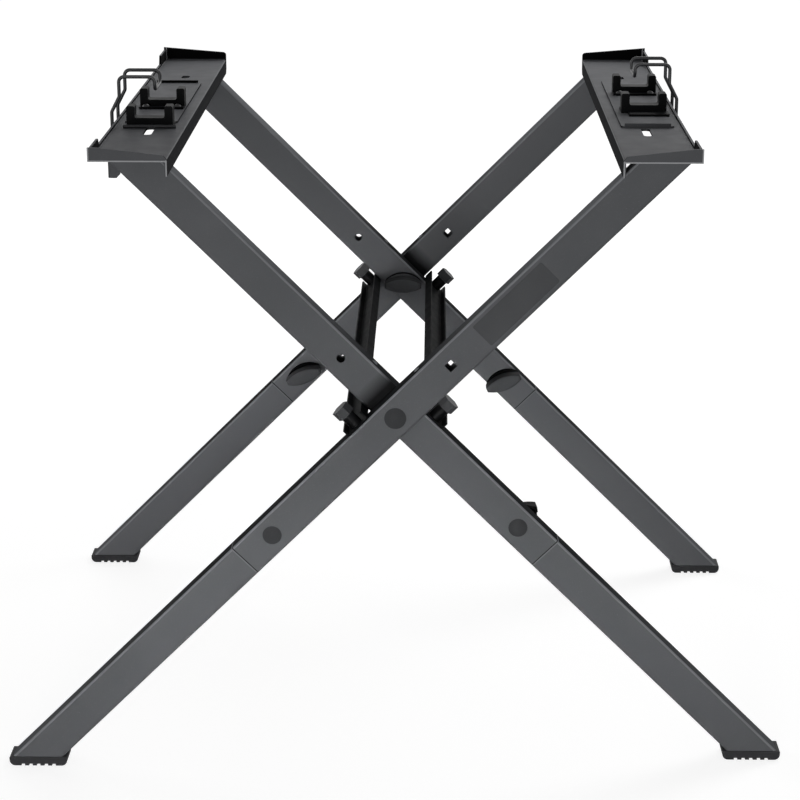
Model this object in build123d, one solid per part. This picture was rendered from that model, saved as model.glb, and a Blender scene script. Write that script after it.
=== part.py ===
from build123d import *
import os
from math import cos, radians, sin, tan

# Folding X stand for a table saw, in millimetres.
# Origin: on the floor, under the crossing of the legs. +X right, +Y to the back, +Z up.
# Outer frame: legs rise from the left feet to the right tray. Inner frame: the other way.

OUTER = 1
INNER = -1

# Leg tubes
PIVOT_HEIGHT = 411.5
LEG_ANGLE = 45.0
STAND_DEPTH = 638.6
TUBE_WIDTH = 40.0
TUBE_DEPTH = 25.0
TUBE_WALL = 1.5
TUBE_CORNER = 3.0
SEAM_BELOW_PIVOT = 231.5
SOLE_HEIGHT = 10.4
CUT_OVERRUN = 5.0

# Leg sleeve that joins the lower tube to the upper one
SPIGOT_REACH = 70.0
SPIGOT_WALL = 1.5
SPIGOT_CLEARANCE = 0.15

# Holes along the legs
PLAIN_HOLE_ABOVE_PIVOT = 83.0
SQUARE_HOLE = 9.6
ROUND_HOLE = 9.3
RIVET_ABOVE_PIVOT = 52.0

# Round-headed bolts with square necks
LEG_BOLT_ABOVE_SEAM = 42.5
LEG_BOLT_DIAMETER = 8.0
LEG_BOLT_HEAD = 20.8
LEG_BOLT_HEAD_HEIGHT = 3.2
PIVOT_BOLT_DIAMETER = 10.0
PIVOT_BOLT_HEAD = 23.5
PIVOT_BOLT_HEAD_HEIGHT = 3.8
BOLT_NECK = 3.2
BOLT_HOLE_CLEARANCE = 0.3
RUNNING_CLEARANCE = 0.05
RUNNING_GAP = 0.3

# Washers and sleeves
WASHER_THICKNESS = 1.4
LEG_WASHER = 18.0
PIVOT_WASHER = 24.0
SLEEVE_WALL = 3.0

# Wing knobs
KNOB_LENGTH = 47.5
KNOB_WIDTH = 19.0
KNOB_HEIGHT = 26.0
KNOB_BLUNT = 6.5
KNOB_BASE_LENGTH = 45.0
KNOB_BASE_WIDTH = 25.0
KNOB_BASE_HEIGHT = 8.0
KNOB_EDGE = 3.0
KNOB_TILT = 22.0
KNOB_POCKET_CLEARANCE = 0.02
THREAD_REACH = 17.0
LEG_NUT = 13.0
LEG_NUT_HEIGHT = 6.5
PIVOT_NUT = 16.0
PIVOT_NUT_HEIGHT = 8.0

# Crossbars of folded sheet, across the legs in the side openings of the X
BAR_SHEET = 2.0
BAR_WEB = 30.0
BAR_STOP_HEIGHT = 12.0
BAR_FLANGE_HEIGHT = 9.0
BAR_BEND = 2.5
BAR_BOLT_FROM_APEX = 17.0
BAR_SLEEVE_DIAMETER = 15.0
BAR_SLEEVE_LENGTH = 15.0
BAR_BOLT_DIAMETER = 8.0
BAR_BOLT_HEAD = 18.0
BAR_BOLT_HEAD_HEIGHT = 11.0
BAR_NUT_HEIGHT = 6.5

# Trays
TRAY_TOP = 693.1
TRAY_SHEET = 2.5
TRAY_INNER_FROM_LEG = 45.9
TRAY_WIDTH = 81.3
TRAY_OVERHANG = 15.1
TRAY_SKIRT = 17.5
TRAY_SKIRT_CHAMFER = 6.0
TRAY_BEND = 3.0
FRONT_LIP_OUTER = 12.1
FRONT_LIP_INNER = 4.6
FRONT_LIP_LEVEL = 9.0
FRONT_LIP_START = 3.8
FRONT_LIP_ROUND = 2.5
REAR_LIP_OUTER = 16.3
REAR_LIP_INNER = 9.7
REAR_LIP_ROUND = 4.0
SIDE_LIP = 2.4
FRONT_EAR_LENGTH = 62.0
FRONT_EAR_HEIGHT = 9.9
REAR_EAR_LENGTH = 54.0
REAR_EAR_HEIGHT = 12.9
EAR_SLOPE = 5.0
TRAY_SLOT = 9.5
TRAY_SLOT_FROM_EDGE = 37.8
TRAY_SLOT_ENDS = ((-197.0, -154.0), (181.0, 201.0))

# Saddle plates with one rolled end, and the U cradles on them
SADDLE_SHEET = 2.0
SADDLE_FROM_EDGE = 12.4
SADDLE_WIDTH = 58.4
SADDLE_CORNER = 4.0
SADDLE_ROLL_HEIGHT = 5.0
SADDLE_ROLL_DEPTH = 4.0
SADDLE_ENDS = {"right": (-149.0, 160.0), "left": (-128.0, 138.0)}
CRADLE_FROM_EDGE = {"right": 44.4, "left": 39.2}
CRADLE_WIDTH = 51.0
CRADLE_DEPTH = 17.0
CRADLE_HEIGHT = 22.0
CRADLE_NOTCH = 33.0
CRADLE_NOTCH_DEPTH = 13.0
CRADLE_NOTCH_CORNER = 2.5
CRADLE_POST_ROUND = 2.0
CRADLE_FRONTS = {"right": (-67.0, 60.0), "left": (-157.0, -40.0)}
CRADLE_BASES = {"right": (SADDLE_SHEET, SADDLE_SHEET), "left": (0.0, SADDLE_SHEET)}
CRADLE_FOOT_DEPTH = 11.0
CRADLE_FOOT_THICKNESS = 2.5
CRADLE_SCREW_SPACING = 36.0
CRADLE_SCREW_DIAMETER = 5.0
CRADLE_SCREW_HEAD = 8.5
CRADLE_SCREW_HEAD_HEIGHT = 3.0
CRADLE_SCREW_END = 3.0
CRADLE_ROD_DIAMETER = 4.0
CRADLE_ROD_LENGTH = 58.5
CRADLE_TOE_LENGTH = 45.2
CRADLE_TOE_DEPTH = 22.0
CRADLE_TOE_SHIFT = 4.3

# Wire bails and their brackets
BAIL_WIRE = 4.0
BAIL_SPREAD = 48.0
BAIL_PIVOT_OFFSET = 4.0
BAIL_PIVOT_BELOW_TOP = 13.5
BAIL_KNEE = 25.4
BAIL_JOG = 9.0
BAIL_SHOULDER = 42.4
BAIL_TOP = 64.4
BAIL_REACH = 48.8
BAIL_HOOK = 14.0
BAIL_BEND = 6.0
BAIL_END_BEND = 3.8
BAIL_END = 9.0
BAIL_CENTRES = {"right": -4.0, "left": -100.0}
EAR_THICKNESS = 2.5
EAR_GAP = 2.0
EAR_ROUND = 4.8
BRACKET_SHEET = 2.0
BRACKET_REACH = 16.0

# Small pieces
RIVET_HEAD = 8.0
RIVET_HEAD_HEIGHT = 2.0
RIVET_SHANK = 4.0
RIVET_SHANK_LENGTH = 3.0
TAB_FROM_EDGE = 70.8
TAB_WIDTH = 13.0
TAB_HEIGHT = 30.6
TAB_DEPTH = 16.0
TAB_SHEET = 2.5
TAB_BEND = 4.0
TAB_CHAMFER = 4.0

# Rubber feet
FOOT_OVERHANG = 4.07
FOOT_SIDE = 1.5
FOOT_ROUND = 6.5
FOOT_EDGE = 1.0
FOOT_GROOVE = 4.0
FOOT_GROOVE_DEPTH = 2.2
FOOT_RIBS = 6
FOOT_PLUG = 28.0
FOOT_PLUG_CLEARANCE = 0.15

# Places that follow from the sizes above
FRAME_GAP = WASHER_THICKNESS + RUNNING_GAP
LEG_Y = {OUTER: (STAND_DEPTH - TUBE_DEPTH) / 2}
LEG_Y[INNER] = LEG_Y[OUTER] - TUBE_DEPTH - FRAME_GAP
LEG_BOLT_BELOW_PIVOT = SEAM_BELOW_PIVOT - LEG_BOLT_ABOVE_SEAM
SLOPE = radians(LEG_ANGLE)
TRAY_UNDERSIDE = TRAY_TOP - TRAY_SHEET
TRAY_LENGTH = STAND_DEPTH + 2 * TRAY_OVERHANG
TRAY_INNER_X = (TRAY_UNDERSIDE - PIVOT_HEIGHT) / tan(SLOPE) - TRAY_INNER_FROM_LEG
TRAY_OUTER_X = TRAY_INNER_X + TRAY_WIDTH
TRAY_SLOT_X = TRAY_INNER_X + TRAY_SLOT_FROM_EDGE
SADDLE_INNER_X = TRAY_INNER_X + SADDLE_FROM_EDGE
CRADLE_CENTRES = {side: TRAY_INNER_X + CRADLE_FROM_EDGE[side] for side in CRADLE_FROM_EDGE}
TAB_OUTER_X = TRAY_INNER_X + TAB_FROM_EDGE
BAR_APEX = -TUBE_WIDTH / 2
UPPER_REACH = (TRAY_UNDERSIDE - PIVOT_HEIGHT) / sin(SLOPE) + TUBE_WIDTH
LOWER_REACH = PIVOT_HEIGHT / sin(SLOPE) + TUBE_WIDTH
FOOT_LENGTH = TUBE_WIDTH / sin(SLOPE) + 2 * FOOT_OVERHANG
FOOT_DEPTH = TUBE_DEPTH + 2 * FOOT_SIDE


def save(name, shape):
    """Write one named piece, or a group of like pieces."""
    shape.label = name
    export_step(shape, f"parts/{name}.step")


def save_group(name, shapes):
    save(name, Compound(children=list(shapes)))


def on_leg(frame, shape):
    """Carry a shape from leg coordinates (X up the leg, Z off its upper face) to the stand."""
    placed = Pos(0, 0, PIVOT_HEIGHT) * Rot(0, -LEG_ANGLE, 0) * shape
    return placed if frame == OUTER else mirror(placed, Plane.YZ)


def at_side(side, shape):
    """A shape drawn for the right tray, or its mirror image for the left one."""
    return shape if side == "right" else mirror(shape, Plane.YZ)


def at_rear(shape):
    return mirror(shape, Plane.XZ)


def block(low, high):
    """A box between two corners."""
    size = [high[i] - low[i] for i in range(3)]
    centre = [(high[i] + low[i]) / 2 for i in range(3)]
    return Pos(*centre) * Box(*size)


def outline(points, radii):
    """A closed face through points, with one corner radius for each."""
    return make_face(FilletPolyline(*points, radius=radii, close=True))


def dome(diameter, height):
    """A spherical cap that stands on the XY plane."""
    ball = ((diameter / 2) ** 2 + height**2) / (2 * height)
    return (Pos(0, 0, height - ball) * Sphere(ball)) & (Pos(0, 0, height / 2) * Cylinder(diameter / 2, height))


def ring(outer_diameter, bore, length):
    """A washer or sleeve that stands on the XY plane."""
    body = Cylinder(outer_diameter / 2, length) - Cylinder(bore / 2, length + CUT_OVERRUN)
    return Pos(0, 0, length / 2) * body


def hexagon(across_flats, length):
    """A hexagonal prism that stands on the XY plane."""
    return extrude(RegularPolygon(across_flats / 2, 6, major_radius=False), length)


def outward(shape):
    """Turn a piece drawn along +Z so that it points out of the front face."""
    return Rot(90, 0, 0) * shape


def inward(shape):
    """Turn a piece drawn along +Z so that it points from the front to the back."""
    return Rot(-90, 0, 0) * shape


def tube(start, end, inset, wall):
    """A rectangular tube along X, smaller than the leg by the inset all round."""
    depth = TUBE_DEPTH - 2 * inset
    width = TUBE_WIDTH - 2 * inset
    corner = TUBE_CORNER - inset
    outside = RectangleRounded(depth, width, corner)
    inside = RectangleRounded(depth - 2 * wall, width - 2 * wall, corner / 2)
    return Pos(start, 0, 0) * extrude(Plane.YZ * (outside - inside), end - start)


def front_face(frame):
    """Y of the front leg's outer face."""
    return -LEG_Y[frame] - TUBE_DEPTH / 2


def back_face(frame):
    """Y of the front leg's inner face."""
    return -LEG_Y[frame] + TUBE_DEPTH / 2


def bolt_cut(diameter):
    """Square hole in the outer wall and round hole in the inner wall, about the leg's middle."""
    square = diameter + 2 * BOLT_HOLE_CLEARANCE
    middle = TUBE_DEPTH / 2
    round_hole = inward(Cylinder(square / 2, TUBE_DEPTH + CUT_OVERRUN))
    neck = block((-square / 2, -middle - CUT_OVERRUN, -square / 2), (square / 2, 0, square / 2))
    return round_hole + neck


def upper_leg(frame):
    """Upper tube of the front leg, welded to the tray's underside."""
    leg = tube(-SEAM_BELOW_PIVOT, UPPER_REACH, 0, TUBE_WALL)
    leg -= Pos(-LEG_BOLT_BELOW_PIVOT, 0, 0) * bolt_cut(LEG_BOLT_DIAMETER)
    through = TUBE_DEPTH + CUT_OVERRUN
    if frame == OUTER:
        leg -= bolt_cut(PIVOT_BOLT_DIAMETER)
        leg -= Pos(PLAIN_HOLE_ABOVE_PIVOT, 0, 0) * Box(SQUARE_HOLE, through, SQUARE_HOLE)
    else:
        leg -= inward(Cylinder(bush_diameter() / 2, through))
        leg -= Pos(PLAIN_HOLE_ABOVE_PIVOT, 0, 0) * inward(Cylinder(ROUND_HOLE / 2, through))
    top = TUBE_WIDTH / 2
    rivet_hole = Cylinder(RIVET_SHANK / 2 + BOLT_HOLE_CLEARANCE, CUT_OVERRUN)
    leg -= Pos(RIVET_ABOVE_PIVOT, 0, top) * rivet_hole
    bar_hole = Cylinder(BAR_BOLT_DIAMETER / 2 + BOLT_HOLE_CLEARANCE, CUT_OVERRUN)
    leg -= Pos(BAR_APEX - BAR_BOLT_FROM_APEX, 0, top) * bar_hole
    placed = on_leg(frame, Pos(0, -LEG_Y[frame], 0) * leg)
    return split(placed, bisect_by=Plane(origin=(0, 0, TRAY_UNDERSIDE)), keep=Keep.BOTTOM)


def lower_leg(frame):
    """Lower tube of the front leg, cut level on the foot."""
    leg = tube(-LOWER_REACH, -SEAM_BELOW_PIVOT, 0, TUBE_WALL)
    placed = on_leg(frame, Pos(0, -LEG_Y[frame], 0) * leg)
    return split(placed, bisect_by=Plane(origin=(0, 0, SOLE_HEIGHT)), keep=Keep.TOP)


def leg_spigot(frame):
    """Sleeve inside both tubes at the seam."""
    inset = TUBE_WALL + SPIGOT_CLEARANCE
    low = -SEAM_BELOW_PIVOT - SPIGOT_REACH
    high = -SEAM_BELOW_PIVOT + SPIGOT_REACH
    sleeve = tube(low, high, inset, SPIGOT_WALL)
    sleeve -= Pos(-LEG_BOLT_BELOW_PIVOT, 0, 0) * bolt_cut(LEG_BOLT_DIAMETER)
    return on_leg(frame, Pos(0, -LEG_Y[frame], 0) * sleeve)


def foot(frame):
    """Rubber foot: ribbed pad under the tube and a plug inside it."""
    half = FOOT_LENGTH / 2
    bottom_radius = FOOT_ROUND
    points = [(-half, 0), (half, 0), (half, SOLE_HEIGHT), (-half, SOLE_HEIGHT)]
    pad = extrude(Plane.XZ * outline(points, [bottom_radius, bottom_radius, 0, 0]), FOOT_DEPTH / 2, both=True)
    pad = fillet(pad.faces().sort_by(Axis.Z)[-1].edges(), FOOT_EDGE)
    pitch = (FOOT_LENGTH - 2 * FOOT_ROUND) / FOOT_RIBS
    for rib in range(FOOT_RIBS - 1):
        groove_x = (rib + 1 - FOOT_RIBS / 2) * pitch
        groove = Box(FOOT_GROOVE, FOOT_DEPTH + CUT_OVERRUN, 2 * FOOT_GROOVE_DEPTH)
        pad -= Pos(groove_x, 0, 0) * groove
    inset = TUBE_WALL + FOOT_PLUG_CLEARANCE
    plug_depth = TUBE_DEPTH - 2 * inset
    plug_width = TUBE_WIDTH - 2 * inset
    leg_end = -(PIVOT_HEIGHT - SOLE_HEIGHT) / sin(SLOPE)
    plug = Box(2 * FOOT_PLUG, plug_depth, plug_width)
    plug = fillet(plug.edges().filter_by(Axis.X), TUBE_CORNER / 2)
    plug = on_leg(frame, Pos(leg_end, -LEG_Y[frame], 0) * plug)
    plug = split(plug, bisect_by=Plane(origin=(0, 0, SOLE_HEIGHT)), keep=Keep.TOP)
    foot_x = -frame * (PIVOT_HEIGHT - SOLE_HEIGHT) / tan(SLOPE)
    return Pos(foot_x, -LEG_Y[frame], 0) * pad + plug


def carriage_bolt(diameter, head, head_height, length):
    """Round head above the XY plane, square neck and shank below it."""
    shank = Pos(0, 0, -length / 2) * Cylinder(diameter / 2, length)
    neck = Pos(0, 0, -BOLT_NECK / 2) * Box(diameter, diameter, BOLT_NECK)
    return dome(head, head_height) + shank + neck


def leg_bolt_length():
    return TUBE_DEPTH + WASHER_THICKNESS + RUNNING_GAP + THREAD_REACH


def pivot_bolt_length():
    return leg_bolt_length() + FRAME_GAP + TUBE_DEPTH + RUNNING_GAP


def leg_bolt(frame):
    bolt = carriage_bolt(LEG_BOLT_DIAMETER, LEG_BOLT_HEAD, LEG_BOLT_HEAD_HEIGHT, leg_bolt_length())
    place = Pos(-LEG_BOLT_BELOW_PIVOT, front_face(frame), 0)
    return on_leg(frame, place * outward(bolt))


def pivot_bolt():
    bolt = carriage_bolt(PIVOT_BOLT_DIAMETER, PIVOT_BOLT_HEAD, PIVOT_BOLT_HEAD_HEIGHT, pivot_bolt_length())
    return on_leg(OUTER, Pos(0, front_face(OUTER), 0) * outward(bolt))


def bush_diameter():
    return PIVOT_BOLT_DIAMETER + 2 * SLEEVE_WALL


def pivot_bush():
    """Bush through the inner leg, turning on the pivot bolt."""
    bore = PIVOT_BOLT_DIAMETER + 2 * RUNNING_CLEARANCE
    bush = ring(bush_diameter(), bore, TUBE_DEPTH)
    return on_leg(INNER, Pos(0, front_face(INNER), 0) * inward(bush))


def pivot_washers():
    """Washers on the front pivot bolt: one between the legs, one under the knob."""
    washer = ring(PIVOT_WASHER, PIVOT_BOLT_DIAMETER + 2 * BOLT_HOLE_CLEARANCE, WASHER_THICKNESS)
    places = (back_face(OUTER), back_face(INNER) + RUNNING_GAP)
    return [on_leg(OUTER, Pos(0, y, 0) * inward(washer)) for y in places]


def knob_washer(frame):
    """Washer on the leg's inner face, round the leg bolt."""
    washer = ring(LEG_WASHER, LEG_BOLT_DIAMETER + 2 * BOLT_HOLE_CLEARANCE, WASHER_THICKNESS)
    return on_leg(frame, Pos(-LEG_BOLT_BELOW_PIVOT, back_face(frame), 0) * inward(washer))


def lens(length, width):
    """An oval face between two equal arcs, with short blunt ends."""
    x = length / 2
    y = KNOB_BLUNT / 2
    upper = ThreePointArc((-x, y), (0, width / 2), (x, y))
    right = Line((x, y), (x, -y))
    lower = ThreePointArc((x, -y), (0, -width / 2), (-x, -y))
    left = Line((-x, -y), (-x, y))
    return make_face(upper + right + lower + left)


def knob(bolt_diameter):
    """Wing knob standing on the XY plane, long way along X: a slim grip on a broader base."""
    base = extrude(lens(KNOB_BASE_LENGTH, KNOB_BASE_WIDTH), KNOB_BASE_HEIGHT)
    grip_height = KNOB_HEIGHT - KNOB_BASE_HEIGHT
    grip = Pos(0, 0, KNOB_BASE_HEIGHT) * extrude(lens(KNOB_LENGTH, KNOB_WIDTH), grip_height)
    grip = fillet(grip.edges().group_by(Axis.Z)[-1], KNOB_EDGE)
    body = base + grip
    bore = bolt_diameter / 2 + BOLT_HOLE_CLEARANCE
    depth = THREAD_REACH + BOLT_HOLE_CLEARANCE
    return body - Pos(0, 0, depth / 2) * Cylinder(bore, depth)


def knob_with_nut(bolt_diameter, nut, nut_height):
    """A knob with a pocket, and the nut that is moulded into it."""
    pocket = hexagon(nut + 2 * KNOB_POCKET_CLEARANCE, nut_height)
    body = knob(bolt_diameter) - pocket
    bore = bolt_diameter / 2 + RUNNING_CLEARANCE
    insert = hexagon(nut, nut_height) - Cylinder(bore, 2 * nut_height + CUT_OVERRUN)
    return body, insert


def leg_knob(frame):
    """Knob and nut on the front leg's bolt, tilted up to the right."""
    along = -LEG_BOLT_BELOW_PIVOT
    place = Pos(
        frame * along * cos(SLOPE),
        back_face(frame) + WASHER_THICKNESS + RUNNING_GAP,
        PIVOT_HEIGHT + along * sin(SLOPE),
    )
    pair = knob_with_nut(LEG_BOLT_DIAMETER, LEG_NUT, LEG_NUT_HEIGHT)
    return [place * Rot(0, -KNOB_TILT, 0) * inward(piece) for piece in pair]


def pivot_knob():
    """Knob and nut on the front pivot bolt, level."""
    place = Pos(0, back_face(INNER) + WASHER_THICKNESS + 2 * RUNNING_GAP, PIVOT_HEIGHT)
    pair = knob_with_nut(PIVOT_BOLT_DIAMETER, PIVOT_NUT, PIVOT_NUT_HEIGHT)
    return [place * inward(piece) for piece in pair]


def crossbar(frame):
    """Channel on the upper faces of both lower legs, its stop flange against the other frame."""
    floor = TUBE_WIDTH / 2
    near = BAR_APEX - RUNNING_GAP
    far = BAR_APEX - BAR_WEB
    stop_top = floor + BAR_STOP_HEIGHT
    flange_top = floor + BAR_FLANGE_HEIGHT
    points = [
        (near, floor),
        (near, stop_top),
        (near - BAR_SHEET, stop_top),
        (near - BAR_SHEET, floor + BAR_SHEET),
        (far + BAR_SHEET, floor + BAR_SHEET),
        (far + BAR_SHEET, flange_top),
        (far, flange_top),
        (far, floor),
    ]
    inner_bend = BAR_BEND - BAR_SHEET
    radii = [BAR_BEND, 0, 0, inner_bend, inner_bend, 0, 0, BAR_BEND]
    half = LEG_Y[frame] + TUBE_DEPTH / 2
    bar = extrude(Plane.XZ * outline(points, radii), half, both=True)
    hole = Cylinder(BAR_BOLT_DIAMETER / 2 + BOLT_HOLE_CLEARANCE, CUT_OVERRUN)
    for end in (-1, 1):
        bar -= Pos(BAR_APEX - BAR_BOLT_FROM_APEX, end * LEG_Y[frame], floor + BAR_SHEET / 2) * hole
    return on_leg(frame, bar)


def on_bar(frame, height, shape):
    """Both copies of a fastener at the crossbar's ends, a height above the legs' upper faces."""
    x = BAR_APEX - BAR_BOLT_FROM_APEX
    z = TUBE_WIDTH / 2 + height
    return [on_leg(frame, Pos(x, end * LEG_Y[frame], z) * shape) for end in (-1, 1)]


def bar_sleeves(frame):
    sleeve = ring(BAR_SLEEVE_DIAMETER, BAR_BOLT_DIAMETER + 2 * BOLT_HOLE_CLEARANCE, BAR_SLEEVE_LENGTH)
    return on_bar(frame, BAR_SHEET, sleeve)


def bar_bolts(frame):
    """Hex-headed bolts down through the sleeve, the bar and the leg's upper wall."""
    shank_length = BAR_SLEEVE_LENGTH + BAR_SHEET + TUBE_WALL + BAR_NUT_HEIGHT
    shank = Pos(0, 0, -shank_length / 2) * Cylinder(BAR_BOLT_DIAMETER / 2, shank_length)
    bolt = hexagon(BAR_BOLT_HEAD, BAR_BOLT_HEAD_HEIGHT) + shank
    return on_bar(frame, BAR_SHEET + BAR_SLEEVE_LENGTH, bolt)


def bar_nuts(frame):
    """Weld nuts inside the tubes."""
    bore = BAR_BOLT_DIAMETER / 2 + RUNNING_CLEARANCE
    nut = hexagon(LEG_NUT, BAR_NUT_HEIGHT) - Cylinder(bore, 2 * BAR_NUT_HEIGHT + CUT_OVERRUN)
    return on_bar(frame, -TUBE_WALL - BAR_NUT_HEIGHT, nut)


def tray(side):
    """Bent sheet tray: base, inner skirt, end lips and a low outer lip with an ear at each end."""
    half = TRAY_LENGTH / 2
    inner = TRAY_INNER_X
    outer = TRAY_OUTER_X
    base = block((inner, -half, TRAY_UNDERSIDE), (outer, half, TRAY_TOP))

    skirt_low = TRAY_TOP - TRAY_SKIRT
    skirt_points = [
        (-half, skirt_low),
        (half - TRAY_SKIRT_CHAMFER, skirt_low),
        (half, skirt_low + TRAY_SKIRT_CHAMFER),
        (half, TRAY_TOP),
        (-half, TRAY_TOP),
    ]
    skirt_face = Plane.YZ * make_face(Polyline(*skirt_points, close=True))
    skirt = Pos(inner, 0, 0) * extrude(skirt_face, TRAY_SHEET)

    lip_start = inner + FRONT_LIP_START
    front_points = [
        (inner, TRAY_UNDERSIDE),
        (outer, TRAY_UNDERSIDE),
        (outer, TRAY_TOP + FRONT_LIP_OUTER),
        (outer - FRONT_LIP_LEVEL, TRAY_TOP + FRONT_LIP_OUTER),
        (lip_start, TRAY_TOP + FRONT_LIP_INNER),
        (inner, TRAY_TOP),
    ]
    front_face_lip = Plane.XZ * outline(front_points, [0, 0, 0, 0, FRONT_LIP_ROUND, 0])
    front_lip = Pos(0, -half + TRAY_SHEET, 0) * extrude(front_face_lip, TRAY_SHEET)

    rear_points = [
        (inner, TRAY_UNDERSIDE),
        (outer, TRAY_UNDERSIDE),
        (outer, TRAY_TOP + REAR_LIP_OUTER),
        (inner, TRAY_TOP + REAR_LIP_INNER),
    ]
    rear_face_lip = Plane.XZ * outline(rear_points, [0, 0, 0, REAR_LIP_ROUND])
    rear_lip = Pos(0, half, 0) * extrude(rear_face_lip, TRAY_SHEET)

    side_top = TRAY_TOP + SIDE_LIP
    side_points = [
        (-half, TRAY_UNDERSIDE),
        (half, TRAY_UNDERSIDE),
        (half, TRAY_TOP + REAR_EAR_HEIGHT),
        (half - REAR_EAR_LENGTH, TRAY_TOP + REAR_EAR_HEIGHT),
        (half - REAR_EAR_LENGTH - EAR_SLOPE, side_top),
        (-half + FRONT_EAR_LENGTH + EAR_SLOPE, side_top),
        (-half + FRONT_EAR_LENGTH, TRAY_TOP + FRONT_EAR_HEIGHT),
        (-half, TRAY_TOP + FRONT_EAR_HEIGHT),
    ]
    side_face = Plane.YZ * make_face(Polyline(*side_points, close=True))
    side_lip = Pos(outer - TRAY_SHEET, 0, 0) * extrude(side_face, TRAY_SHEET)

    body = base + skirt + front_lip + rear_lip + side_lip
    corner = Vector(inner, 0, TRAY_TOP)
    bend = [e for e in body.edges().filter_by(Axis.Y) if (e.center() - corner).length < TRAY_SHEET]
    body = fillet(bend, TRAY_BEND)
    for low, high in TRAY_SLOT_ENDS:
        slot = extrude(Rot(0, 0, 90) * SlotOverall(high - low, TRAY_SLOT), TRAY_SHEET + CUT_OVERRUN, both=True)
        body -= Pos(TRAY_SLOT_X, (low + high) / 2, TRAY_TOP) * slot
    for x, y in screw_places(side):
        body -= Pos(x, y, TRAY_TOP) * screw_cut()
    return at_side(side, body)


def screw_cut():
    clear = CRADLE_SCREW_DIAMETER / 2 + BOLT_HOLE_CLEARANCE
    return Cylinder(clear, 2 * (TRAY_SHEET + SADDLE_SHEET + CRADLE_FOOT_THICKNESS) + CUT_OVERRUN)


def screw_places(side):
    """Screws in the foot behind the front cradle and in the foot before the rear cradle."""
    front, rear = CRADLE_FRONTS[side]
    rows = (front + CRADLE_DEPTH + CRADLE_FOOT_DEPTH / 2, rear - CRADLE_FOOT_DEPTH / 2)
    shift = CRADLE_SCREW_SPACING / 2
    return [(CRADLE_CENTRES[side] + along * shift, y) for y in rows for along in (-1, 1)]


def saddle_plate(side):
    """Plate on the tray's base, with one rolled end."""
    low, high = SADDLE_ENDS[side]
    size = (SADDLE_WIDTH, high - low)
    centre = (SADDLE_INNER_X + SADDLE_WIDTH / 2, (low + high) / 2)
    sheet = extrude(Pos(*centre) * RectangleRounded(*size, SADDLE_CORNER), SADDLE_SHEET)
    sheet = Pos(0, 0, TRAY_TOP) * sheet
    roll_y = low if side == "right" else high - SADDLE_ROLL_DEPTH
    roll = block(
        (SADDLE_INNER_X + SADDLE_CORNER, roll_y, TRAY_TOP),
        (SADDLE_INNER_X + SADDLE_WIDTH - SADDLE_CORNER, roll_y + SADDLE_ROLL_DEPTH, TRAY_TOP + SADDLE_ROLL_HEIGHT),
    )
    top_edges = roll.faces().sort_by(Axis.Z)[-1].edges().filter_by(Axis.X)
    roll = fillet(top_edges, SADDLE_ROLL_DEPTH / 3)
    body = sheet + roll
    for x, y in screw_places(side):
        body -= Pos(x, y, TRAY_TOP) * screw_cut()
    return at_side(side, body)


def cradle(side, row):
    """U cradle with its foot towards the other cradle of the pair; all notch floors are level."""
    half = CRADLE_WIDTH / 2
    notch = CRADLE_NOTCH / 2
    height = CRADLE_HEIGHT + SADDLE_SHEET - CRADLE_BASES[side][row]
    notch_floor = height - CRADLE_NOTCH_DEPTH
    points = [
        (-half, 0),
        (half, 0),
        (half, height),
        (notch, height),
        (notch, notch_floor),
        (-notch, notch_floor),
        (-notch, height),
        (-half, height),
    ]
    post = CRADLE_POST_ROUND
    inside = CRADLE_NOTCH_CORNER
    section = Plane.XZ * outline(points, [0, 0, post, post, inside, inside, post, post])
    body = Pos(0, CRADLE_DEPTH, 0) * extrude(section, CRADLE_DEPTH)
    if row == 0:
        foot_low = CRADLE_DEPTH
    else:
        foot_low = -CRADLE_FOOT_DEPTH
    body += block((-half, foot_low, 0), (half, foot_low + CRADLE_FOOT_DEPTH, CRADLE_FOOT_THICKNESS))
    if side == "right" and row == 0:
        toe = Box(CRADLE_TOE_LENGTH, CRADLE_TOE_DEPTH, CRADLE_FOOT_THICKNESS)
        body += Pos(CRADLE_TOE_SHIFT, -CRADLE_TOE_DEPTH / 2, CRADLE_FOOT_THICKNESS / 2) * toe
    base = TRAY_TOP + CRADLE_BASES[side][row]
    body = Pos(CRADLE_CENTRES[side], CRADLE_FRONTS[side][row], base) * body
    for x, y in screw_places(side):
        body -= Pos(x, y, TRAY_TOP) * screw_cut()
    return at_side(side, body)


def cradle_rod():
    """Rod across the foot of the left front cradle."""
    radius = CRADLE_ROD_DIAMETER / 2
    rod = Rot(0, 90, 0) * Cylinder(radius, CRADLE_ROD_LENGTH)
    rod = fillet(rod.edges().filter_by(GeomType.CIRCLE), radius / 3)
    front = CRADLE_FRONTS["left"][0]
    base = TRAY_TOP + CRADLE_BASES["left"][0]
    return at_side("left", Pos(CRADLE_CENTRES["left"], front - radius, base + radius) * rod)


def cradle_screws(side):
    """Round-headed screws through the cradle feet and what is under them."""
    grip = CRADLE_FOOT_THICKNESS + SADDLE_SHEET + TRAY_SHEET + CRADLE_SCREW_END
    shank = Pos(0, 0, -grip / 2) * Cylinder(CRADLE_SCREW_DIAMETER / 2, grip)
    screw = dome(CRADLE_SCREW_HEAD, CRADLE_SCREW_HEAD_HEIGHT) + shank
    bases = [base for base in CRADLE_BASES[side] for _ in (-1, 1)]
    screws = []
    for (x, y), base in zip(screw_places(side), bases):
        screws.append(at_side(side, Pos(x, y, TRAY_TOP + base + CRADLE_FOOT_THICKNESS) * screw))
    return screws


def bail_pivot():
    """X and Z of the right bail's hinge line."""
    return TRAY_OUTER_X + BAIL_PIVOT_OFFSET, TRAY_TOP - BAIL_PIVOT_BELOW_TOP


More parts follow.
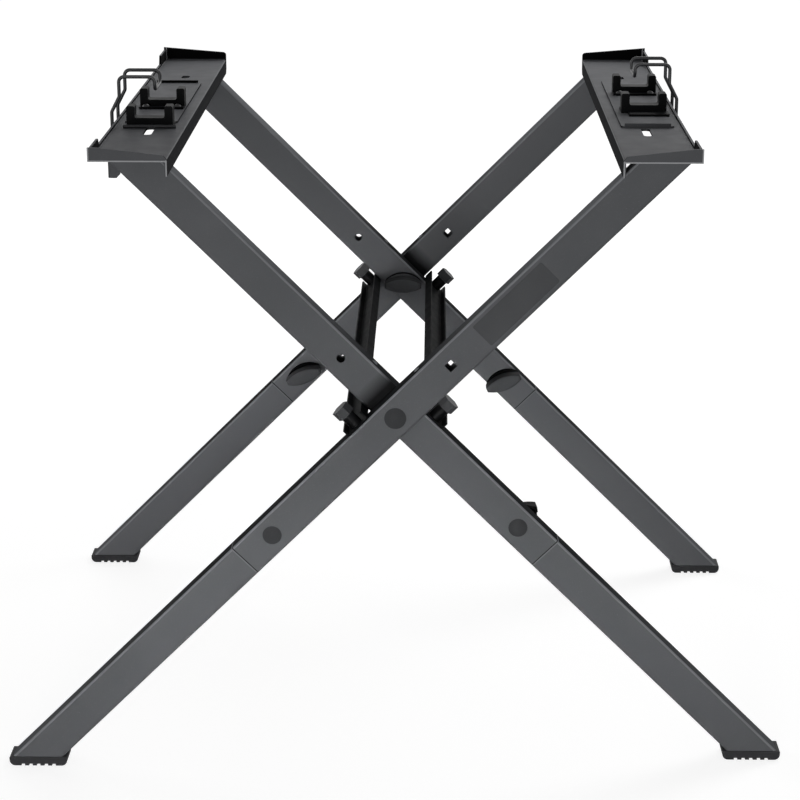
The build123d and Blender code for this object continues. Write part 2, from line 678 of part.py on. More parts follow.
def bail(side):
    """Closed wire bail: two arms over the tray, and ends turned out into the bracket's ears."""
    x, z = bail_pivot()
    arm = BAIL_SPREAD / 2
    profile = [
        (x, z),
        (x, z + BAIL_KNEE),
        (x - BAIL_JOG, z + BAIL_SHOULDER),
        (x - BAIL_JOG, z + BAIL_TOP),
        (x - BAIL_REACH, z + BAIL_TOP),
        (x - BAIL_REACH, z + BAIL_TOP - BAIL_HOOK),
    ]
    there = [(px, -arm, pz) for px, pz in profile]
    back = [(px, arm, pz) for px, pz in reversed(profile)]
    start = (x, -arm - BAIL_END, z)
    finish = (x, arm + BAIL_END, z)
    bends = [BAIL_END_BEND] + [BAIL_BEND] * (2 * len(profile) - 2) + [BAIL_END_BEND]
    path = FilletPolyline(start, *there, *back, finish, radius=bends)
    section = Plane(origin=start, z_dir=(0, 1, 0)) * Circle(BAIL_WIRE / 2)
    wire = sweep(section, path=path)
    return at_side(side, Pos(0, BAIL_CENTRES[side], 0) * wire)


def bail_bracket(side):
    """Plate under the tray's edge, with two ears folded down for the bail's ends."""
    x, z = bail_pivot()
    ear_inside = BAIL_SPREAD / 2 + BAIL_WIRE / 2 + EAR_GAP
    ear_outside = ear_inside + EAR_THICKNESS
    back = TRAY_OUTER_X - BRACKET_REACH
    plate_low = TRAY_UNDERSIDE - BRACKET_SHEET
    body = block((back, -ear_outside, plate_low), (TRAY_OUTER_X, ear_outside, TRAY_UNDERSIDE))
    ear_points = [
        (back, TRAY_UNDERSIDE),
        (TRAY_OUTER_X, TRAY_UNDERSIDE),
        (x + EAR_ROUND, z),
        (x + EAR_ROUND, z - EAR_ROUND),
        (x - EAR_ROUND, z - EAR_ROUND),
    ]
    ear_radii = [0, 0, EAR_ROUND / 3, EAR_ROUND * 2 / 3, EAR_ROUND * 2 / 3]
    ear = extrude(Plane.XZ * outline(ear_points, ear_radii), EAR_THICKNESS / 2, both=True)
    hole = Cylinder(BAIL_WIRE / 2 + RUNNING_CLEARANCE, EAR_THICKNESS + CUT_OVERRUN)
    for end in (-1, 1):
        y = end * (ear_inside + EAR_THICKNESS / 2)
        body += Pos(0, y, 0) * ear
        body -= Pos(x, y, z) * inward(hole)
    return at_side(side, Pos(0, BAIL_CENTRES[side], 0) * body)


def tray_tab():
    """Bent tab under the left tray, on the inner face of the inner frame's front leg."""
    front = back_face(INNER)
    x = TAB_OUTER_X
    low = TRAY_UNDERSIDE - TAB_HEIGHT
    plan = [
        (x, front),
        (x, front + TAB_DEPTH),
        (x - TAB_SHEET, front + TAB_DEPTH),
        (x - TAB_SHEET, front + TAB_SHEET),
        (x - TAB_WIDTH, front + TAB_SHEET),
        (x - TAB_WIDTH, front),
    ]
    radii = [TAB_BEND, 0, 0, TAB_BEND - TAB_SHEET, 0, 0]
    tab = Pos(0, 0, low) * extrude(outline(plan, radii), TAB_HEIGHT)
    corner = [e for e in tab.edges().filter_by(Axis.Y) if e.center().Z < low + TAB_SHEET]
    corner = sorted(corner, key=lambda e: e.center().X)[0]
    return at_side("left", chamfer(corner, TAB_CHAMFER))


def edge_rivet(frame):
    """Round-headed rivet in the front leg's upper face."""
    shank = Pos(0, 0, -RIVET_SHANK_LENGTH / 2) * Cylinder(RIVET_SHANK / 2, RIVET_SHANK_LENGTH)
    rivet = dome(RIVET_HEAD, RIVET_HEAD_HEIGHT) + shank
    return on_leg(frame, Pos(RIVET_ABOVE_PIVOT, -LEG_Y[frame], TUBE_WIDTH / 2) * rivet)


def save_frame(frame, word, foot_side, tray_side):
    """Write the pieces of one frame, front and rear."""
    makers = [
        (f"{word}_leg", "", upper_leg),
        ("lower_leg", f"_{foot_side}", lower_leg),
        ("foot", f"_{foot_side}", foot),
    ]
    for name, tail, maker in makers:
        piece = maker(frame)
        save(f"{name}_front{tail}", piece)
        save(f"{name}_rear{tail}", at_rear(piece))
    pairs = [
        (f"leg_spigots_{foot_side}", leg_spigot(frame)),
        (f"leg_bolts_{foot_side}", leg_bolt(frame)),
        (f"knob_washers_{foot_side}", knob_washer(frame)),
        (f"edge_rivets_{word}", edge_rivet(frame)),
    ]
    for name, piece in pairs:
        save_group(name, [piece, at_rear(piece)])
    knob_body, knob_nut = leg_knob(frame)
    save(f"leg_knob_front_{foot_side}", knob_body)
    save(f"leg_knob_rear_{foot_side}", at_rear(knob_body))
    save(f"leg_knob_nut_front_{foot_side}", knob_nut)
    save(f"leg_knob_nut_rear_{foot_side}", at_rear(knob_nut))
    save(f"crossbar_{foot_side}", crossbar(frame))
    save_group(f"crossbar_sleeves_{foot_side}", bar_sleeves(frame))
    save_group(f"crossbar_bolts_{foot_side}", bar_bolts(frame))
    save_group(f"crossbar_nuts_{foot_side}", bar_nuts(frame))
    save(f"tray_{tray_side}", tray(tray_side))
    save(f"saddle_plate_{tray_side}", saddle_plate(tray_side))
    save(f"cradle_{tray_side}_front", cradle(tray_side, 0))
    save(f"cradle_{tray_side}_rear", cradle(tray_side, 1))
    save_group(f"cradle_screws_{tray_side}", cradle_screws(tray_side))
    save(f"bail_bracket_{tray_side}", bail_bracket(tray_side))
    save(f"bail_{tray_side}", bail(tray_side))


def save_pivot():
    """Write the pieces on the scissor axis."""
    groups = [
        ("pivot_bolts", [pivot_bolt()]),
        ("pivot_bushes", [pivot_bush()]),
        ("pivot_washers", pivot_washers()),
    ]
    for name, pieces in groups:
        save_group(name, pieces + [at_rear(piece) for piece in pieces])
    knob_body, knob_nut = pivot_knob()
    save("pivot_knob_front", knob_body)
    save("pivot_knob_rear", at_rear(knob_body))
    save("pivot_knob_nut_front", knob_nut)
    save("pivot_knob_nut_rear", at_rear(knob_nut))


os.makedirs("parts", exist_ok=True)
save_frame(OUTER, "outer", "left", "right")
save_frame(INNER, "inner", "right", "left")
save_pivot()
save("tray_tab_left", tray_tab())
save("cradle_rod_left", cradle_rod())
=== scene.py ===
import math

import bpy
import bmesh
from mathutils import Matrix, Vector


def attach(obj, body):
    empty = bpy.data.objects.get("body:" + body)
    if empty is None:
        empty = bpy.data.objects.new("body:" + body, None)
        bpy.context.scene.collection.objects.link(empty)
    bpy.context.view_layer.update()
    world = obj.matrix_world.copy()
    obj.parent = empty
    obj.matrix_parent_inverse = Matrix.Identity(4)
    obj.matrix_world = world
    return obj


# Looks of the folding saw stand: materials, bare label plate, camera and light.
# Metres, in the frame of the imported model: +X right, +Y back, +Z up.

# Camera, solved from the photo's straight edges
CAMERA_PLACE = (0.0398, -2.5337, 1.1327)
CAMERA_PITCH = -0.3063
CAMERA_YAW = 0.0157
CAMERA_LENS = 98.43
CAMERA_REACH = 50
SENSOR = 36.0

# Lamps: name, place, aim, size, watts, and spread in degrees
WIDE = 180
LAMPS = [
    ("front", (-1.0, -8.0, 0.55), (0, 0, 0.2), (3.1, 1.7), 290, WIDE),
    ("floor_glow", (-0.1, -1.7, 0.03), (0, 0, 0.5), (2.2, 0.8), 7.5, WIDE),
    ("low_beam", (-0.35, -2.8, 0.2), (-0.05, -0.3, 0.17), (0.8, 0.3), 0.6, 20),
    ("top_rear", (1.3, 2.2, 2.7), (0, 0, 0.3), (1.6, 1.6), 30, WIDE),
    ("rear_left", (-2.9, 1.7, 1.0), (0, 0, 0.3), (1.6, 1.6), 24, WIDE),
    ("rear_right", (2.9, 1.7, 1.0), (0, 0, 0.3), (1.6, 1.6), 24, WIDE),
]

# The world's strength as light, as background, and in gloss
WORLD_LIGHT = 0.15
WORLD_SEEN = 1.0
WORLD_MIRRORED = 1.0
WHITE = (1, 1, 1, 1)

# The floor, and the glow that lifts it to white near the stand and far from it
FLOOR_COLOUR = 0.35
FLOOR_ROUGHNESS = 0.9
FLOOR_REACH = 8.0
FLOOR_NEAR = 0.9
FLOOR_FAR = 2.2
NEAR_GLOW = 0.84
FAR_GLOW = 0.97
FLOOR_MIRRORED = 0.15

# Bare label plate on the front leg of the outer frame, placed up the leg from the pivot
PIVOT_HEIGHT = 0.4115
LEG_ANGLE = math.radians(45)
OUTER_FACE = -0.3193
LABEL_FROM = 0.129
LABEL_TO = 0.229
LABEL_WIDTH = 0.029
LABEL_THICKNESS = 0.0003
LABEL_CORNER = 0.002
CORNER_STEPS = 6
QUARTER_TURN = 90

# Grain of every coat: scale and detail of each noise, and how far it shows
NOISE_MIDDLE = (0.3, 0.7)
NOISE_ROUGHNESS = 0.55
DRIFT_NOISE = (6.0, 4.0)
DRIFT_SHOWN = 0.1
FLECK_NOISE = (850.0, 2.0)
FLECK_PEAKS = (0.64, 0.74)
FLECK_SHOWN = 0.4
FLECK_TONE = 1.6
SHEEN_NOISE = (45.0, 3.0)
SHEEN_BELOW = 0.05
SHEEN_ABOVE = 0.06
PEEL_NOISE = (600.0, 2.0)
PEEL_ROUGHNESS = 0.5
PEEL_HEIGHT = 0.00004
BAND_SOFT = 0.0002

# Coats with one colour: colour, roughness, peel and gloss level
PLAIN_COATS = {
    "bar_paint": ((0.007, 0.0074, 0.0078), 0.5, 0.25, 0.01),
    "cradle_plastic": ((0.002, 0.0022, 0.0025), 0.4, 0.4, 0.03),
    "wire_coat": ((0.022, 0.023, 0.025), 0.35, 0.25, 0.3),
    "bolt_black": ((0.035, 0.036, 0.039), 0.4, 0.25, 0.15),
    "sleeve_black": ((0.003, 0.003, 0.0035), 0.45, 0.25, 0.08),
    "cap_paint": ((0.043, 0.044, 0.0465), 0.6, 0.25, 0.06),
    "screw_black": ((0.012, 0.012, 0.0135), 0.3, 0.25, 0.3),
    "zinc": ((0.4, 0.4, 0.42), 0.3, 0.25, 0.3),
    "foot_rubber": ((0.02, 0.02, 0.022), 0.7, 0.5, 0.3),
    "label_plate": ((0.043, 0.0445, 0.048), 0.5, 0.25, 0.2),
}

# Coats that change over the surface: roughness, peel and gloss level
LEG_COLOUR = (0.105, 0.108, 0.114)
LEG_COAT = (0.55, 0.25, 0.03)
TRAY_COLOUR = (0.08, 0.082, 0.087)
TRAY_COAT = (0.5, 0.25, 0.05)
KNOB_COLOUR = (0.075, 0.077, 0.081)
KNOB_COAT = (0.5, 0.5, 0.02)
# Near black, for painted shade where the legs cross, at the knobs' bases and inside the trays' upturned
# edges
PAINTED_SHADE_BLACK = (0.0015, 0.0016, 0.0018)

# The legs' faces that look up, in painted shade: dark between two heights over the pivot, paler beyond
# them, with painted light above the higher one
FACES_UP = (0.3, 0.6)
UPWARD_SHADE_COLOUR = (0.014, 0.0145, 0.016)
UPWARD_ROUGHNESS = 0.9
UPPER_FADE = (0.05, 0.2)
UPPER_LIGHT_TONE = 1.9
LOWER_FADE = (-0.37, -0.18)

# Painted light: the rear legs painted lighter, and a painted highlight on the corners of the tubes, by how
# far they turn from the front
REAR_DEPTH = (-0.1, 0.1)
REAR_SHOWN = 0.8
REAR_LIGHT_TONE = 1.25
CORNER_TURNED = (0.2, 0.35)
CORNER_FRONT = (0.94, 0.98)
CORNER_RAISED = (0.1, 0.2)
CORNER_HIGHLIGHT_SHOWN = 0.8
CORNER_HIGHLIGHT_TONE = 2.3

# The seam between upper and lower leg: a dark line of painted shadow above a pale one, down the leg from
# the pivot
SEAM_BELOW_PIVOT = 0.2315
SEAM_SHADOW_WIDTH = 0.0011
SEAM_SHADOW_TONE = 0.15
SEAM_PALE_WIDTH = 0.0012
SEAM_PALE_TONE = 1.5

# The dark shade where one leg passes in front of another: which depth it lies at, and where it fades
DIAGONAL = math.sqrt(0.5)
COVERED_DEPTH = (0.289, 0.296)
CROSSING_FADE = (0.026, 0.044)
CROSSING_SHOWN = 0.95
FACES_FRONT = (-0.4, -0.2)

# Knobs: sides darker with painted shade, and the depths of the black bases, painted shadow against the leg
KNOB_SIDE_SHADE = (0.025, 0.0255, 0.027)
KNOB_TURNED = (0.3, 0.8)
KNOB_SHADOW_BASES = ((0.2579, 0.2662), (0.2846, 0.2935))
BASE_ROUGHNESS = 0.9

# The trays' faces and sheet, and the lines of painted highlight along their bends
TRAY_TOP = 0.6931
TRAY_MIDDLE = 0.2712
TRAY_INNER = 0.2332
TRAY_OUTER = 0.3145
TRAY_END = 0.3344
TRAY_UNDER = 0.6906
TRAY_SHEET = 0.0025
BEND_HIGHLIGHT_COLOUR = (0.33, 0.335, 0.345)
BEND_HIGHLIGHT_SHOWN = 0.6
BEND_UP = (0.5, 0.7)
EDGE_LINE = 0.0013

# The trays' painted shade and light: dark skirts, black upturned edges, and a top painted lighter, more so
# towards the rear
SKIRT_SHADE_COLOUR = (0.016, 0.0165, 0.018)
SKIRT_TURNED = (0.6, 0.85)
TURNED_IN = (-0.012, -0.008)
UPTURN_FROM = 0.0008
UPTURN_TO = 0.0014
TRAY_DEPTH = (-0.33, 0.33)
TRAY_FRONT_LIGHT = 1.2
TRAY_REAR_LIGHT = 2.3
TRAY_UP = (0.6, 0.9)
TRAY_UP_SHOWN = 0.85
DARK_ROUGHNESS = 0.95

# Coat of each node by the start of its name, the first match first; the rest have the legs' coat
LOOKS = [
    ("foot_", "foot_rubber"),
    ("leg_knob_nut", "zinc"),
    ("pivot_knob_nut", "zinc"),
    ("leg_knob", "knob_plastic"),
    ("pivot_knob", "knob_plastic"),
    ("leg_bolts", "cap_paint"),
    ("pivot_bolts", "cap_paint"),
    ("pivot_washers", "zinc"),
    ("pivot_bushes", "zinc"),
    ("knob_washers", "zinc"),
    ("leg_spigots", "zinc"),
    ("crossbar_sleeves", "sleeve_black"),
    ("crossbar_bolts", "bolt_black"),
    ("crossbar_nuts", "zinc"),
    ("crossbar", "bar_paint"),
    ("cradle_screws", "screw_black"),
    ("cradle_rod", "bolt_black"),
    ("cradle", "cradle_plastic"),
    ("bail_bracket", "tray_paint"),
    ("bail", "wire_coat"),
    ("saddle_plate", "tray_paint"),
    ("tray", "tray_paint"),
    ("", "leg_paint"),
]

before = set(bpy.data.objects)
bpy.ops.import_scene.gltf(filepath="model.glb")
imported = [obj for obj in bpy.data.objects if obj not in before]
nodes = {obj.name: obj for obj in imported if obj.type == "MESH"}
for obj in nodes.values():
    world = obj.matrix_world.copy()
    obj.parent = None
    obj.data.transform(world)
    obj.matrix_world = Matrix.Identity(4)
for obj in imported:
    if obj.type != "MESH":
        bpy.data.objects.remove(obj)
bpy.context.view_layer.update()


class Tree:
    """A small helper round one node tree, of a new material or of the world."""

    def __init__(self, name="", shared=None):
        self.material = shared or bpy.data.materials.new(name)
        self.material.use_nodes = True
        self.nodes = self.material.node_tree.nodes
        self.links = self.material.node_tree.links
        self.shader = self.nodes.get("Principled BSDF")

    def add(self, kind):
        return self.nodes.new(kind)

    def join(self, source, target):
        self.links.new(source, target)

    def coordinates(self, name="Object"):
        """Object coordinates, in metres, or the object's own normal."""
        return self.add("ShaderNodeTexCoord").outputs[name]

    def axis(self, vector, name):
        node = self.add("ShaderNodeSeparateXYZ")
        self.join(vector, node.inputs["Vector"])
        return node.outputs[name]

    def noise(self, scale, detail, roughness=NOISE_ROUGHNESS):
        node = self.add("ShaderNodeTexNoise")
        node.inputs["Scale"].default_value = scale
        node.inputs["Detail"].default_value = detail
        node.inputs["Roughness"].default_value = roughness
        self.join(self.coordinates(), node.inputs["Vector"])
        return node.outputs["Fac"]

    def span(self, value, ends, results):
        """Maps a value from one range to another, clamped."""
        node = self.add("ShaderNodeMapRange")
        node.clamp = True
        for name, number in zip(("From Min", "From Max", "To Min", "To Max"), (*ends, *results)):
            node.inputs[name].default_value = number
        self.join(value, node.inputs["Value"])
        return node.outputs["Result"]

    def rise(self, value, ends, top=1.0):
        """Nought up to the first end, top from the second on."""
        return self.span(value, ends, (0.0, top))

    def fall(self, value, ends, top=1.0):
        """Top up to the first end, nought from the second on."""
        return self.span(value, ends, (top, 0.0))

    def band(self, value, low, high):
        """One between two values, nought outside them."""
        rise = self.rise(value, (low - BAND_SOFT, low))
        fall = self.fall(value, (high, high + BAND_SOFT))
        return self.product(rise, fall)

    def math(self, operation, a, b=0.0):
        node = self.add("ShaderNodeMath")
        node.operation = operation
        for socket, value in zip(node.inputs, (a, b)):
            if isinstance(value, (int, float)):
                socket.default_value = value
            else:
                self.join(value, socket)
        return node.outputs["Value"]

    def size(self, value):
        return self.math("ABSOLUTE", value)

    def product(self, *values):
        whole = values[0]
        for value in values[1:]:
            whole = self.math("MULTIPLY", whole, value)
        return whole

    def highest(self, *values):
        top = values[0]
        for value in values[1:]:
            top = self.math("MAXIMUM", top, value)
        return top

    def mix(self, factor, a, b):
        """A colour between a and b, each a colour or a socket."""
        node = self.add("ShaderNodeMix")
        node.data_type = "RGBA"
        self.join(factor, node.inputs["Factor"])
        for name, value in (("A", a), ("B", b)):
            socket = [s for s in node.inputs if s.name == name and s.type == "RGBA"][0]
            if isinstance(value, (tuple, list)):
                socket.default_value = (*value, 1.0)
            else:
                self.join(value, socket)
        return [s for s in node.outputs if s.type == "RGBA"][0]

    def bump(self, height, strength, distance):
        node = self.add("ShaderNodeBump")
        node.inputs["Strength"].default_value = strength
        node.inputs["Distance"].default_value = distance
        self.join(height, node.inputs["Height"])
        return node.outputs["Normal"]

    def paint(self, tone):
        self.join(tone, self.shader.inputs["Base Color"])

    def roughen(self, mask, roughness):
        """Raises the coat's roughness where the mask is one."""
        node = self.add("ShaderNodeMix")
        self.join(mask, node.inputs[0])
        self.join(self.sheen, node.inputs[2])
        node.inputs[3].default_value = roughness
        self.join(node.outputs[0], self.shader.inputs["Roughness"])


def shaded(colour, factor):
    return tuple(min(1.0, channel * factor) for channel in colour)


def coat(name, colour, roughness, peel, level):
    """A baked coat or moulded skin: slow tone drift, fine grain and dust specks."""
    tree = Tree(name)
    drift = tree.rise(tree.noise(*DRIFT_NOISE), NOISE_MIDDLE)
    base = tree.mix(drift, shaded(colour, 1 - DRIFT_SHOWN), shaded(colour, 1 + DRIFT_SHOWN))
    fleck = tree.rise(tree.noise(*FLECK_NOISE), FLECK_PEAKS, FLECK_SHOWN)
    tree.base = tree.mix(fleck, base, shaded(colour, FLECK_TONE))
    tree.paint(tree.base)
    sheen_ends = (roughness - SHEEN_BELOW, roughness + SHEEN_ABOVE)
    tree.sheen = tree.span(tree.noise(*SHEEN_NOISE), NOISE_MIDDLE, sheen_ends)
    tree.join(tree.sheen, tree.shader.inputs["Roughness"])
    grain = tree.noise(*PEEL_NOISE, PEEL_ROUGHNESS)
    tree.join(tree.bump(grain, peel, PEEL_HEIGHT), tree.shader.inputs["Normal"])
    tree.shader.inputs["Specular IOR Level"].default_value = level
    return tree


def crossing_shade(tree, place, facing, height):
    """One on a leg that lies behind another, close over the leg in front, nought elsewhere."""
    depth = tree.axis(place, "Y")
    across = tree.product(tree.axis(place, "X"), tree.math("SIGN", depth))
    past = tree.product(tree.math("ADD", height, across), DIAGONAL)
    return tree.product(
        tree.fall(past, CROSSING_FADE, CROSSING_SHOWN),
        tree.rise(past, (0.0, BAND_SOFT)),
        tree.band(tree.size(depth), *COVERED_DEPTH),
        tree.fall(tree.axis(facing, "Y"), FACES_FRONT),
    )


def leg_finish():
    """The tubes' coat: painted shade, dark and matt, on the faces that look up, painted light on the rear
    legs and corners, seam lines and painted shade where the legs cross.
    """
    tree = coat("leg_paint", LEG_COLOUR, *LEG_COAT)
    place = tree.coordinates()
    facing = tree.coordinates("Normal")
    upward = tree.axis(facing, "Z")
    height = tree.math("SUBTRACT", tree.axis(place, "Z"), PIVOT_HEIGHT)

    # Painted shade on the faces that look up, dark near the pivot, with painted light towards the top
    up = tree.rise(upward, FACES_UP)
    upper = tree.mix(tree.rise(height, UPPER_FADE), UPWARD_SHADE_COLOUR, shaded(LEG_COLOUR, UPPER_LIGHT_TONE))
    upper = tree.mix(tree.fall(height, LOWER_FADE), upper, tree.base)
    # Painted light: the rear legs a little lighter
    rear_legs_light = tree.rise(tree.axis(place, "Y"), REAR_DEPTH, REAR_SHOWN)
    front = tree.mix(rear_legs_light, tree.base, shaded(LEG_COLOUR, REAR_LIGHT_TONE))
    tone = tree.mix(up, front, upper)

    # Painted highlight on the tubes' corners between the front and upper faces
    turned = tree.product(tree.axis(facing, "Y"), -1.0)
    corner_highlight = tree.product(
        tree.rise(turned, CORNER_TURNED),
        tree.fall(turned, CORNER_FRONT),
        tree.rise(upward, CORNER_RAISED, CORNER_HIGHLIGHT_SHOWN),
    )
    tone = tree.mix(corner_highlight, tone, shaded(LEG_COLOUR, CORNER_HIGHLIGHT_TONE))

    # The seam: a dark line of painted shadow in its gap, above a pale line
    outward = tree.size(tree.axis(place, "X"))
    down_leg = tree.product(tree.math("SUBTRACT", height, outward), DIAGONAL)
    below = tree.math("ADD", down_leg, SEAM_BELOW_PIVOT)
    tone = tree.mix(tree.band(below, 0.0, SEAM_SHADOW_WIDTH), tone, shaded(LEG_COLOUR, SEAM_SHADOW_TONE))
    tone = tree.mix(tree.band(below, -SEAM_PALE_WIDTH, 0.0), tone, shaded(LEG_COLOUR, SEAM_PALE_TONE))

    tree.paint(tree.mix(crossing_shade(tree, place, facing, height), tone, PAINTED_SHADE_BLACK))
    tree.roughen(up, UPWARD_ROUGHNESS)
    return tree.material


def knob_finish():
    """Moulded knobs: a paler face, sides darker with painted shade, and a black base of painted shadow
    against the leg.
    """
    tree = coat("knob_plastic", KNOB_COLOUR, *KNOB_COAT)
    depth = tree.size(tree.axis(tree.coordinates(), "Y"))
    turned = tree.size(tree.axis(tree.coordinates("Normal"), "Y"))
    # Painted shade on the knobs' sides
    tone = tree.mix(tree.fall(turned, KNOB_TURNED), tree.base, KNOB_SIDE_SHADE)
    # Black bands of painted shadow where the knobs' bases meet the legs
    base = tree.highest(*(tree.band(depth, *ends) for ends in KNOB_SHADOW_BASES))
    tree.paint(tree.mix(base, tone, PAINTED_SHADE_BLACK))
    tree.roughen(base, BASE_ROUGHNESS)
    return tree.material


def tray_highlight_lines(tree, place, facing):
    """One along the trays' bends and cut edges, where a painted highlight stands for the coat catching the
    light.
    """
    outward = tree.size(tree.axis(place, "X"))
    depth = tree.axis(place, "Y")
    height = tree.axis(place, "Z")
    inner_side = tree.band(outward, TRAY_INNER - BAND_SOFT, TRAY_INNER + EDGE_LINE)
    outer_inside = tree.band(outward, TRAY_OUTER - TRAY_SHEET - EDGE_LINE, TRAY_OUTER - TRAY_SHEET)
    level = tree.product(
        tree.rise(tree.axis(facing, "Z"), BEND_UP),
        tree.band(height, TRAY_TOP - EDGE_LINE, TRAY_TOP + BAND_SOFT),
        tree.highest(inner_side, outer_inside),
        BEND_HIGHLIGHT_SHOWN,
    )
    front = tree.band(depth, -TRAY_END - BAND_SOFT, -TRAY_END + BAND_SOFT)
    rim = tree.highest(
        tree.band(height, TRAY_UNDER - BAND_SOFT, TRAY_UNDER + EDGE_LINE),
        tree.product(inner_side, tree.fall(height, (TRAY_TOP - EDGE_LINE, TRAY_TOP))),
        tree.band(outward, TRAY_OUTER - EDGE_LINE, TRAY_OUTER + BAND_SOFT),
    )
    rear_lip = TRAY_END - TRAY_SHEET
    upright = tree.product(tree.band(depth, rear_lip - BAND_SOFT, rear_lip + BAND_SOFT), outer_inside)
    return tree.highest(level, tree.product(front, rim), upright)


def tray_finish():
    """The trays' coat: painted shade, darker and matt, down the sides and black on the insides of the
    upturned edges; painted light on the top, and painted highlights along the bends.
    """
    tree = coat("tray_paint", TRAY_COLOUR, *TRAY_COAT)
    place = tree.coordinates()
    facing = tree.coordinates("Normal")
    across = tree.axis(place, "X")
    depth = tree.axis(place, "Y")

    # Faces turned in above the tray top: black painted shade inside the upturned edges
    outward = tree.math("SUBTRACT", tree.size(across), TRAY_MIDDLE)
    turned = tree.product(tree.axis(facing, "X"), tree.math("SIGN", across))
    sideways = tree.product(outward, turned)
    along = tree.product(depth, tree.axis(facing, "Y"))
    inward = tree.fall(tree.math("ADD", sideways, along), TURNED_IN)
    above = tree.rise(tree.axis(place, "Z"), (TRAY_TOP + UPTURN_FROM, TRAY_TOP + UPTURN_TO))
    black = tree.product(inward, above)
    # Faces turned sideways: painted shade down the skirts
    sheer = tree.rise(tree.size(tree.axis(facing, "X")), SKIRT_TURNED)

    # Painted light on the tray tops, stronger towards the rear
    front_painted_light = shaded(TRAY_COLOUR, TRAY_FRONT_LIGHT)
    rear_painted_light = shaded(TRAY_COLOUR, TRAY_REAR_LIGHT)
    upper = tree.mix(tree.rise(depth, TRAY_DEPTH), front_painted_light, rear_painted_light)
    up = tree.rise(tree.axis(facing, "Z"), TRAY_UP, TRAY_UP_SHOWN)
    tone = tree.mix(up, tree.base, upper)
    tone = tree.mix(sheer, tone, SKIRT_SHADE_COLOUR)
    tone = tree.mix(black, tone, PAINTED_SHADE_BLACK)
    # Painted highlight lines along the trays' bends and cut edges
    tree.paint(tree.mix(tray_highlight_lines(tree, place, facing), tone, BEND_HIGHLIGHT_COLOUR))
    tree.roughen(tree.highest(black, sheer), DARK_ROUGHNESS)
    return tree.material


def make_coats():
    coats = {name: coat(name, *values).material for name, values in PLAIN_COATS.items()}
    zinc = coats["zinc"].node_tree.nodes["Principled BSDF"]
    zinc.inputs["Metallic"].default_value = 1.0
    coats["leg_paint"] = leg_finish()
    coats["tray_paint"] = tray_finish()
    coats["knob_plastic"] = knob_finish()
    return coats


def dress_nodes(coats):
    for node, thing in nodes.items():
        look = next(name for head, name in LOOKS if node.startswith(head))
        thing.data.materials.clear()
        thing.data.materials.append(coats[look])


def add_label_plate(paint):
    """The bare plate where the leg carries its label, with rounded corners."""
    half_length = (LABEL_TO - LABEL_FROM) / 2
    half_width = LABEL_WIDTH / 2
    shape = bmesh.new()
    rim = []
    for turn, (sx, sz) in enumerate(((1, 1), (-1, 1), (-1, -1), (1, -1))):
        centre = Vector((sx * (half_length - LABEL_CORNER), 0, sz * (half_width - LABEL_CORNER)))
        for step in range(CORNER_STEPS + 1):
            angle = math.radians(QUARTER_TURN * (turn + step / CORNER_STEPS))
            arm = Vector((math.cos(angle), 0, math.sin(angle))) * LABEL_CORNER
            rim.append(shape.verts.new(centre + arm))
    face = shape.faces.new(rim)
    grown = bmesh.ops.extrude_face_region(shape, geom=[face])
    lifted = [g for g in grown["geom"] if isinstance(g, bmesh.types.BMVert)]
    bmesh.ops.translate(shape, verts=lifted, vec=(0, -LABEL_THICKNESS, 0))
    bmesh.ops.recalc_face_normals(shape, faces=shape.faces)
    up_leg = (LABEL_FROM + LABEL_TO) / 2
    middle = (up_leg * math.cos(LEG_ANGLE), OUTER_FACE, PIVOT_HEIGHT + up_leg * math.sin(LEG_ANGLE))
    bmesh.ops.transform(shape, matrix=Matrix.Rotation(-LEG_ANGLE, 4, "Y"), verts=shape.verts)
    bmesh.ops.translate(shape, verts=shape.verts, vec=middle)
    mesh = bpy.data.meshes.new("label_plate")
    shape.to_mesh(mesh)
    shape.free()
    mesh.materials.append(paint)
    plate = bpy.data.objects.new("label_plate", mesh)
    bpy.context.scene.collection.objects.link(plate)
    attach(plate, "frame_outer")


def add_camera():
    data = bpy.data.cameras.new("camera")
    data.lens = CAMERA_LENS
    data.sensor_width = SENSOR
    data.clip_end = CAMERA_REACH
    camera = bpy.data.objects.new("camera", data)
    camera.location = CAMERA_PLACE
    camera.rotation_euler = (math.pi / 2 + CAMERA_PITCH, 0, CAMERA_YAW)
    bpy.context.scene.collection.objects.link(camera)
    bpy.context.scene.camera = camera


def add_lights():
    for name, place, target, size, power, spread in LAMPS:
        data = bpy.data.lights.new(name, "AREA")
        data.shape = "RECTANGLE"
        data.size, data.size_y = size
        data.energy = power
        data.spread = math.radians(spread)
        light = bpy.data.objects.new(name, data)
        light.location = place
        light.visible_camera = False
        aim = Vector(target) - Vector(place)
        light.rotation_euler = aim.to_track_quat("-Z", "Y").to_euler()
        bpy.context.scene.collection.objects.link(light)


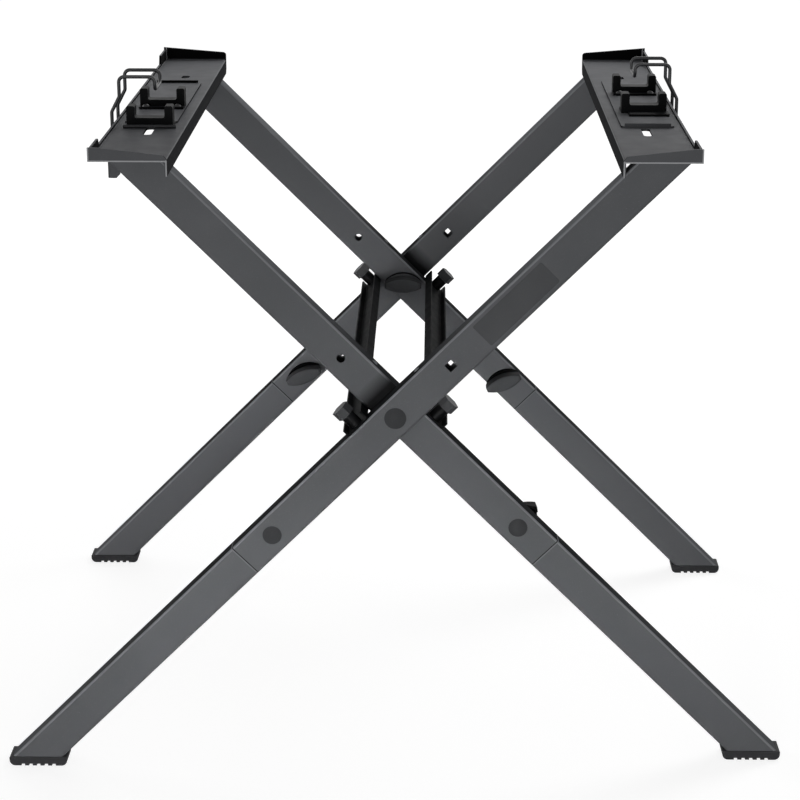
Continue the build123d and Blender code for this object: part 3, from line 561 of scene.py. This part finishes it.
def by_ray(tree, plain, seen, mirrored):
    """A strength for the light that falls on things, for the camera, and for glossy and clear surfaces."""
    ray = tree.add("ShaderNodeLightPath")
    clear = tree.highest(ray.outputs["Is Glossy Ray"], ray.outputs["Is Transmission Ray"])
    by_eye = tree.product(ray.outputs["Is Camera Ray"], seen - plain)
    by_gloss = tree.product(clear, mirrored - plain)
    return tree.math("ADD", tree.math("ADD", by_eye, by_gloss), plain)


def add_world():
    world = bpy.data.worlds.new("studio")
    world.use_nodes = True
    tree = Tree(shared=world)
    background = tree.nodes["Background"]
    background.inputs["Color"].default_value = WHITE
    tree.join(by_ray(tree, WORLD_LIGHT, WORLD_SEEN, WORLD_MIRRORED), background.inputs["Strength"])
    bpy.context.scene.world = world


def add_floor():
    """A pale floor: plain diffuse, and lifted to white where it is looked at."""
    mesh = bpy.data.meshes.new("floor")
    reach = FLOOR_REACH
    corners = [(-reach, -reach, 0), (reach, -reach, 0), (reach, reach, 0), (-reach, reach, 0)]
    mesh.from_pydata(corners, [], [(0, 1, 2, 3)])
    floor = bpy.data.objects.new("floor", mesh)
    bpy.context.scene.collection.objects.link(floor)
    tree = Tree("floor")
    tree.shader.inputs["Base Color"].default_value = (FLOOR_COLOUR, FLOOR_COLOUR, FLOOR_COLOUR, 1)
    tree.shader.inputs["Roughness"].default_value = FLOOR_ROUGHNESS
    tree.shader.inputs["Specular IOR Level"].default_value = 0.0
    tree.shader.inputs["Emission Color"].default_value = WHITE
    away = tree.add("ShaderNodeVectorMath")
    away.operation = "LENGTH"
    tree.join(tree.coordinates(), away.inputs[0])
    glow = tree.span(away.outputs["Value"], (FLOOR_NEAR, FLOOR_FAR), (NEAR_GLOW, FAR_GLOW))
    lifted = tree.product(glow, by_ray(tree, 0.0, 1.0, FLOOR_MIRRORED))
    tree.join(lifted, tree.shader.inputs["Emission Strength"])
    mesh.materials.append(tree.material)


coats = make_coats()
dress_nodes(coats)
add_label_plate(coats["label_plate"])
add_camera()
add_world()
add_floor()
add_lights()
bpy.context.scene.view_settings.view_transform = "Standard"
